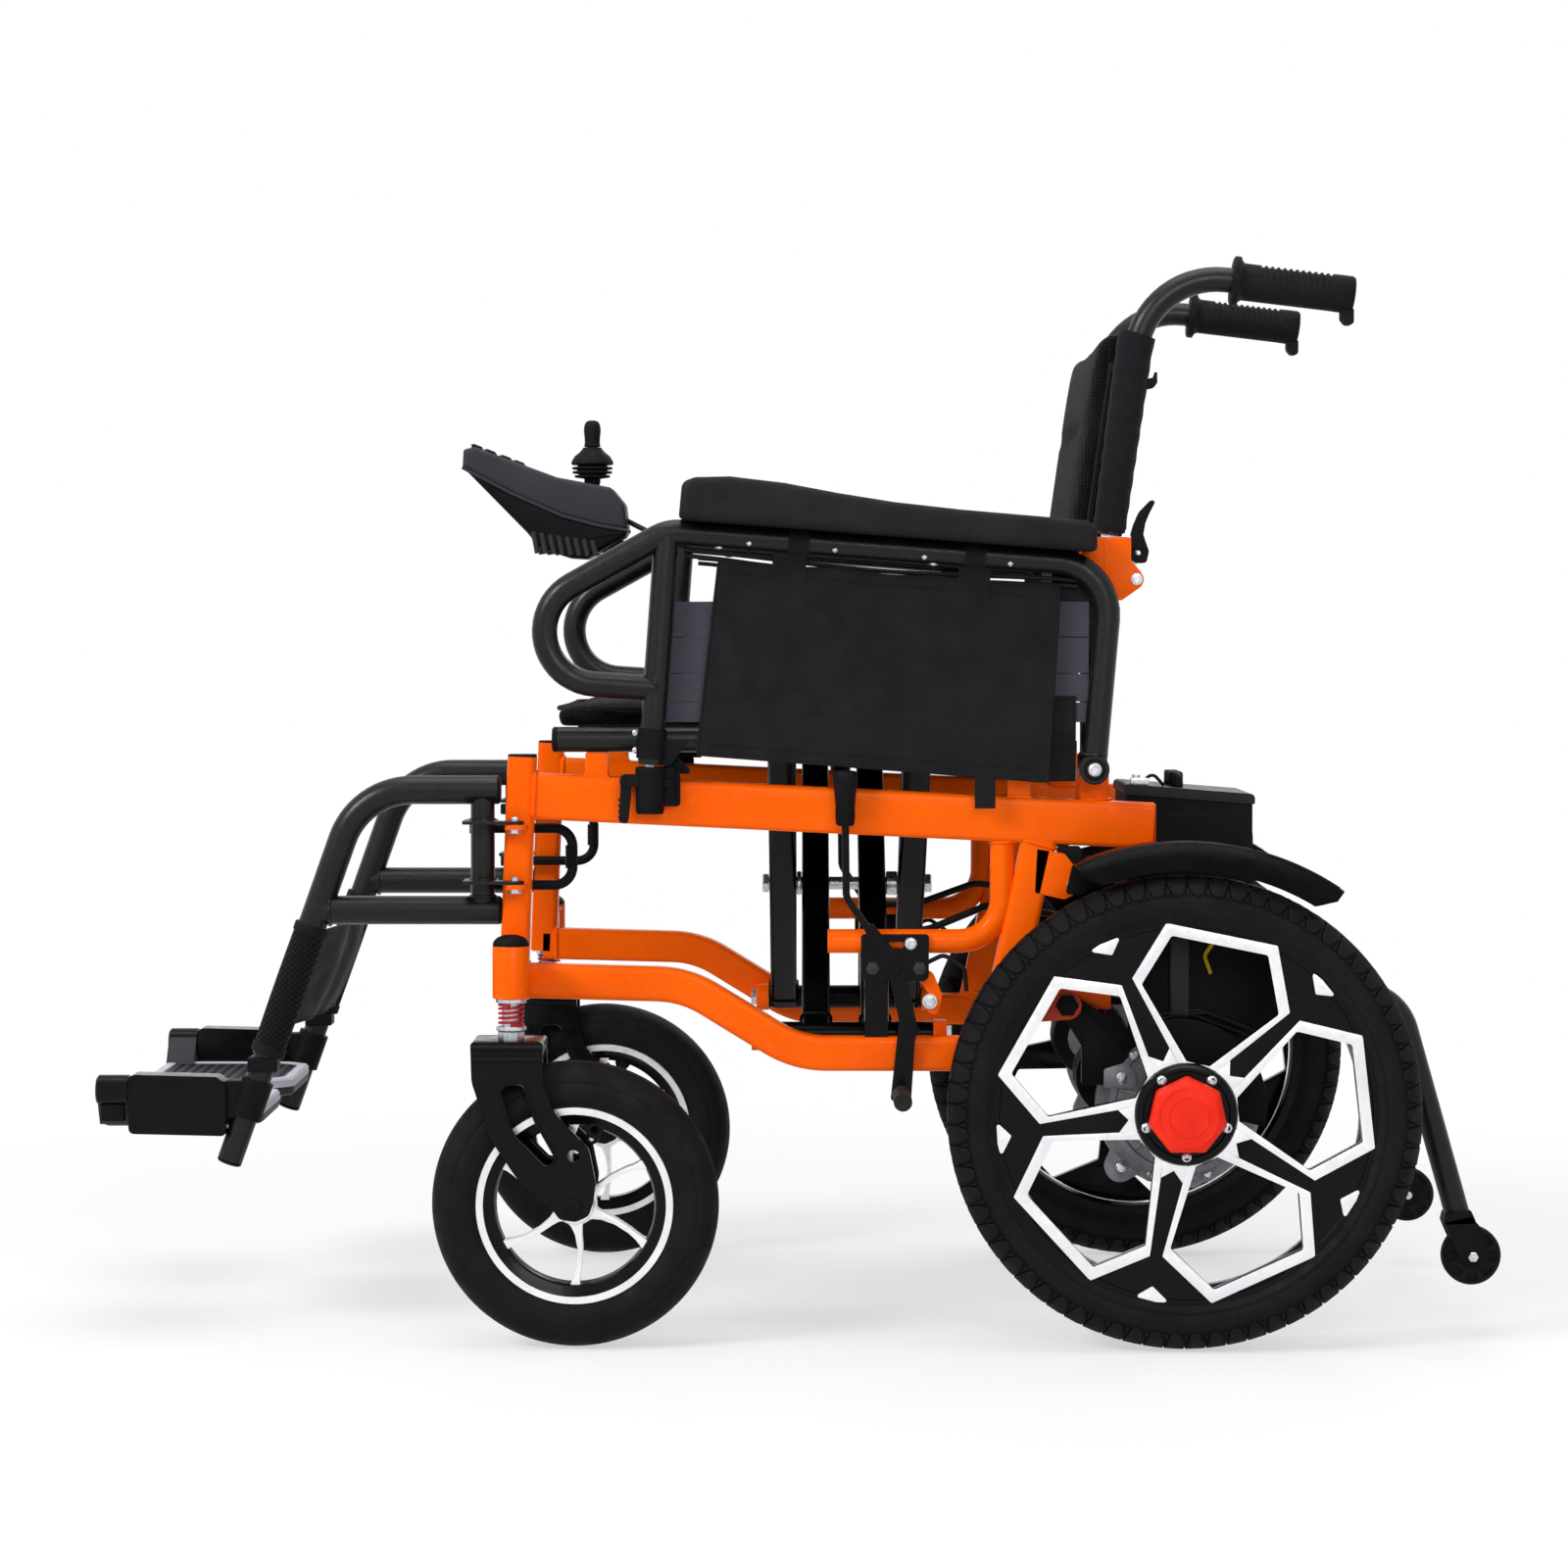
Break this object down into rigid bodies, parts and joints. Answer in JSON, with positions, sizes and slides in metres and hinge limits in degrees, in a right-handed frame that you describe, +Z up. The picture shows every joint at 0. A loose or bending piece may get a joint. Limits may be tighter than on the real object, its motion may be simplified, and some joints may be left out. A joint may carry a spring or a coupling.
{
  "type": "power wheelchair",
  "caption": "Folding power wheelchair with cast drive wheels, sprung casters, cross brace, swing-away legrests, flip-back armrests and joystick.",
  "frame": {"origin": "middle of the base on the floor", "axes": "front faces -Y, the sitter's left is +X, +Z is up"},
  "size_m": [0.6146, 1.2298, 0.9403],
  "materials": {
    "orange_paint": "glossy",
    "black_paint": "satin",
    "black_plastic": "matte",
    "rubber": "matte",
    "tyre": "matte",
    "cast_alloy": "cast",
    "machined_alloy": "machined and black",
    "red_plastic": "glossy",
    "red_spring": "glossy",
    "black_cloth": "woven"
  },
  "bodies": {
    "left_frame": {"left_side_frame": "orange_paint", "left_motor": "cast_alloy", "left_mudguard": "black_plastic", "left_anti_tip_bar": "black_paint"},
    "left_drive_wheel": {"left_drive_tyre": "tyre", "left_drive_rim": "machined_alloy"},
    "left_clutch_knob_body": {"left_clutch_knob": "red_plastic"},
    "left_caster_slide": {"left_caster_spring": "red_spring"},
    "left_caster_fork_body": {"left_caster_fork": "black_paint"},
    "left_caster_wheel": {"left_caster_tyre": "tyre", "left_caster_rim": "machined_alloy"},
    "left_legrest": {"left_legrest_frame": "black_paint", "calf_strap": "black_cloth"},
    "left_footplate_body": {"left_footplate": "black_plastic"},
    "left_legrest_latch_body": {"left_legrest_latch": "black_plastic"},
    "left_armrest": {"left_armrest_frame": "black_paint", "left_arm_pad": "black_plastic", "left_side_guard": "black_cloth"},
    "left_arm_latch_body": {"left_arm_latch": "black_plastic"},
    "left_brake": {"left_brake_lever": "black_paint"},
    "left_anti_tip_wheel_body": {"left_anti_tip_wheel": "black_plastic"},
    "left_back": {"left_back_tube": "black_paint", "left_handgrip": "rubber", "back_cushion": "black_cloth"},
    "left_back_lever_body": {"left_back_lever": "black_plastic"},
    "right_frame": {"right_side_frame": "orange_paint", "right_motor": "cast_alloy", "right_mudguard": "black_plastic", "right_anti_tip_bar": "black_paint"},
    "right_drive_wheel": {"right_drive_tyre": "tyre", "right_drive_rim": "machined_alloy"},
    "right_clutch_knob_body": {"right_clutch_knob": "red_plastic"},
    "right_caster_slide": {"right_caster_spring": "red_spring"},
    "right_caster_fork_body": {"right_caster_fork": "black_paint"},
    "right_caster_wheel": {"right_caster_tyre": "tyre", "right_caster_rim": "machined_alloy"},
    "right_legrest": {"right_legrest_frame": "black_paint"},
    "right_footplate_body": {"right_footplate": "black_plastic"},
    "right_legrest_latch_body": {"right_legrest_latch": "black_plastic"},
    "right_armrest": {"right_armrest_frame": "black_paint", "right_arm_pad": "black_plastic", "right_side_guard": "black_cloth", "controller_body": "black_plastic", "controller_cable": "rubber"},
    "right_arm_latch_body": {"right_arm_latch": "black_plastic"},
    "right_brake": {"right_brake_lever": "black_paint"},
    "right_anti_tip_wheel_body": {"right_anti_tip_wheel": "black_plastic"},
    "right_back": {"right_back_tube": "black_paint", "right_handgrip": "rubber"},
    "right_back_lever_body": {"right_back_lever": "black_plastic"},
    "brace_a": {"cross_brace_a": "black_paint"},
    "brace_b": {"cross_brace_b": "black_paint", "seat_cushion": "black_cloth"},
    "battery": {"battery_box": "black_plastic"},
    "joystick_base": {"joystick_gaiter": "rubber"},
    "joystick": {"joystick_knob": "rubber"},
    "power_button_body": {"power_button": "black_plastic"},
    "horn_button_body": {"horn_button": "black_plastic"},
    "slower_button_body": {"slower_button": "black_plastic"},
    "faster_button_body": {"faster_button": "black_plastic"}
  },
  "joints": [
    {"name": "left_drive_spin", "type": "hinge", "parent": "left_frame", "child": "left_drive_wheel", "pos_m": [0.265, 0.33, 0.20401], "axis": [1, 0, 0], "continuous": true},
    {"name": "left_clutch_turn", "type": "hinge", "parent": "left_drive_wheel", "child": "left_clutch_knob_body", "pos_m": [0.298, 0.33, 0.20401], "axis": [1, 0, 0], "range_deg": [0, 90]},
    {"name": "left_caster_travel", "type": "slide", "parent": "left_frame", "child": "left_caster_slide", "axis": [0, 0, 1], "range_m": [0, 0.006], "stiffness_N_per_m": 15000, "springref_m": -0.015, "deforming": ["left_caster_spring"]},
    {"name": "left_caster_swivel", "type": "hinge", "parent": "left_caster_slide", "child": "left_caster_fork_body", "pos_m": [0.26, -0.2485, 0.3], "axis": [0, 0, 1], "continuous": true},
    {"name": "left_caster_spin", "type": "hinge", "parent": "left_caster_fork_body", "child": "left_caster_wheel", "pos_m": [0.26, -0.1935, 0.12393], "axis": [1, 0, 0], "continuous": true},
    {"name": "left_legrest_swing", "type": "hinge", "parent": "left_frame", "child": "left_legrest", "pos_m": [0.2261, -0.2473, 0.424], "axis": [0, 0, 1], "range_deg": [0, 90]},
    {"name": "left_footplate_flip", "type": "hinge", "parent": "left_legrest", "child": "left_footplate_body", "pos_m": [0.204, -0.6, 0.215], "axis": [0, 1, 0], "range_deg": [0, 90]},
    {"name": "left_legrest_release", "type": "hinge", "parent": "left_legrest", "child": "left_legrest_latch_body", "pos_m": [0.1825, -0.2818, 0.42], "axis": [0, 0, 1], "range_deg": [0, 20], "stiffness_Nm_per_rad": 0.4, "springref_deg": -11.46},
    {"name": "left_armrest_flip", "type": "hinge", "parent": "left_frame", "child": "left_armrest", "pos_m": [0.23, 0.254, 0.497], "axis": [-1, 0, 0], "range_deg": [0, 95]},
    {"name": "left_arm_release", "type": "hinge", "parent": "left_frame", "child": "left_arm_latch_body", "pos_m": [0.23, -0.15095, 0.4874], "axis": [-1, 0, 0], "range_deg": [0, 25], "stiffness_Nm_per_rad": 0.2, "springref_deg": -11.46},
    {"name": "left_brake_turn", "type": "hinge", "parent": "left_frame", "child": "left_brake", "pos_m": [0.222, 0.083, 0.325], "axis": [1, 0, 0], "range_deg": [0, 14]},
    {"name": "left_anti_tip_spin", "type": "hinge", "parent": "left_frame", "child": "left_anti_tip_wheel_body", "pos_m": [0.19, 0.589, 0.069], "axis": [1, 0, 0], "continuous": true},
    {"name": "left_back_fold", "type": "hinge", "parent": "left_frame", "child": "left_back", "pos_m": [0.198, 0.292, 0.6615], "axis": [-1, 0, 0], "range_deg": [0, 95]},
    {"name": "left_back_release", "type": "hinge", "parent": "left_back", "child": "left_back_lever_body", "pos_m": [0.198, 0.294, 0.6845], "axis": [-1, 0, 0], "range_deg": [0, 20], "stiffness_Nm_per_rad": 0.2, "springref_deg": -11.46},
    {"name": "right_drive_spin", "type": "hinge", "parent": "right_frame", "child": "right_drive_wheel", "pos_m": [-0.265, 0.33, 0.20401], "axis": [1, 0, 0], "continuous": true},
    {"name": "right_clutch_turn", "type": "hinge", "parent": "right_drive_wheel", "child": "right_clutch_knob_body", "pos_m": [-0.298, 0.33, 0.20401], "axis": [-1, 0, 0], "range_deg": [0, 90]},
    {"name": "right_caster_travel", "type": "slide", "parent": "right_frame", "child": "right_caster_slide", "axis": [0, 0, 1], "range_m": [0, 0.006], "stiffness_N_per_m": 15000, "springref_m": -0.015, "deforming": ["right_caster_spring"]},
    {"name": "right_caster_swivel", "type": "hinge", "parent": "right_caster_slide", "child": "right_caster_fork_body", "pos_m": [-0.26, -0.2485, 0.3], "axis": [0, 0, 1], "continuous": true},
    {"name": "right_caster_spin", "type": "hinge", "parent": "right_caster_fork_body", "child": "right_caster_wheel", "pos_m": [-0.26, -0.1935, 0.12393], "axis": [1, 0, 0], "continuous": true},
    {"name": "right_legrest_swing", "type": "hinge", "parent": "right_frame", "child": "right_legrest", "pos_m": [-0.2261, -0.2473, 0.424], "axis": [0, 0, -1], "range_deg": [0, 90]},
    {"name": "right_footplate_flip", "type": "hinge", "parent": "right_legrest", "child": "right_footplate_body", "pos_m": [-0.204, -0.6, 0.215], "axis": [0, -1, 0], "range_deg": [0, 90]},
    {"name": "right_legrest_release", "type": "hinge", "parent": "right_legrest", "child": "right_legrest_latch_body", "pos_m": [-0.1825, -0.2818, 0.42], "axis": [0, 0, -1], "range_deg": [0, 20], "stiffness_Nm_per_rad": 0.4, "springref_deg": -11.46},
    {"name": "right_armrest_flip", "type": "hinge", "parent": "right_frame", "child": "right_armrest", "pos_m": [-0.23, 0.254, 0.497], "axis": [-1, 0, 0], "range_deg": [0, 95]},
    {"name": "right_arm_release", "type": "hinge", "parent": "right_frame", "child": "right_arm_latch_body", "pos_m": [-0.23, -0.15095, 0.4874], "axis": [-1, 0, 0], "range_deg": [0, 25], "stiffness_Nm_per_rad": 0.2, "springref_deg": -11.46},
    {"name": "right_brake_turn", "type": "hinge", "parent": "right_frame", "child": "right_brake", "pos_m": [-0.222, 0.083, 0.325], "axis": [1, 0, 0], "range_deg": [0, 14]},
    {"name": "right_anti_tip_spin", "type": "hinge", "parent": "right_frame", "child": "right_anti_tip_wheel_body", "pos_m": [-0.19, 0.589, 0.069], "axis": [1, 0, 0], "continuous": true},
    {"name": "right_back_fold", "type": "hinge", "parent": "right_frame", "child": "right_back", "pos_m": [-0.198, 0.292, 0.6615], "axis": [-1, 0, 0], "range_deg": [0, 95]},
    {"name": "right_back_release", "type": "hinge", "parent": "right_back", "child": "right_back_lever_body", "pos_m": [-0.198, 0.294, 0.6845], "axis": [-1, 0, 0], "range_deg": [0, 20], "stiffness_Nm_per_rad": 0.2, "springref_deg": -11.46},
    {"name": "frame_fold", "type": "hinge", "parent": "left_frame", "child": "brace_a", "pos_m": [0.18, 0.043, 0.262], "axis": [0, 1, 0], "range_deg": [0, 36], "deforming": ["seat_cushion", "back_cushion", "calf_strap"]},
    {"name": "brace_crossing", "type": "hinge", "parent": "brace_a", "child": "brace_b", "pos_m": [0, 0.043, 0.38356], "axis": [0, 1, 0], "range_deg": [-72, 0]},
    {"name": "right_brace_foot", "type": "hinge", "parent": "brace_b", "child": "right_frame", "pos_m": [-0.18, 0.043, 0.262], "axis": [0, 1, 0], "range_deg": [0, 36]},
    {"name": "battery_lift", "type": "slide", "parent": "left_frame", "child": "battery", "axis": [0, 0, 1], "range_m": [0, 0.2]},
    {"name": "joystick_side", "type": "hinge", "parent": "right_armrest", "child": "joystick_base", "pos_m": [-0.245, -0.204, 0.762], "axis": [0, 1, 0], "range_deg": [-12, 12], "stiffness_Nm_per_rad": 0.4},
    {"name": "joystick_forward", "type": "hinge", "parent": "joystick_base", "child": "joystick", "pos_m": [-0.245, -0.204, 0.762], "axis": [1, 0, 0], "range_deg": [-12, 12], "stiffness_Nm_per_rad": 0.4},
    {"name": "power_press", "type": "slide", "parent": "right_armrest", "child": "power_button_body", "axis": [0, -0.3574, -0.9339], "range_m": [0, 0.0009], "stiffness_N_per_m": 800, "springref_m": -0.0006},
    {"name": "horn_press", "type": "slide", "parent": "right_armrest", "child": "horn_button_body", "axis": [0, -0.3574, -0.9339], "range_m": [0, 0.0009], "stiffness_N_per_m": 800, "springref_m": -0.0006},
    {"name": "slower_press", "type": "slide", "parent": "right_armrest", "child": "slower_button_body", "axis": [0, -0.3574, -0.9339], "range_m": [0, 0.0009], "stiffness_N_per_m": 800, "springref_m": -0.0006},
    {"name": "faster_press", "type": "slide", "parent": "right_armrest", "child": "faster_button_body", "axis": [0, -0.3574, -0.9339], "range_m": [0, 0.0009], "stiffness_N_per_m": 800, "springref_m": -0.0006}
  ],
  "couplings": [
    {"joint": "brace_crossing", "follows": "frame_fold", "ratio": -2},
    {"joint": "right_brace_foot", "follows": "frame_fold", "ratio": 1},
    {"joint": "left_footplate_flip", "follows": "frame_fold", "ratio": 2.5},
    {"joint": "right_footplate_flip", "follows": "frame_fold", "ratio": 2.5},
    {"joint": "right_back_fold", "follows": "left_back_fold", "ratio": 1}
  ]
}
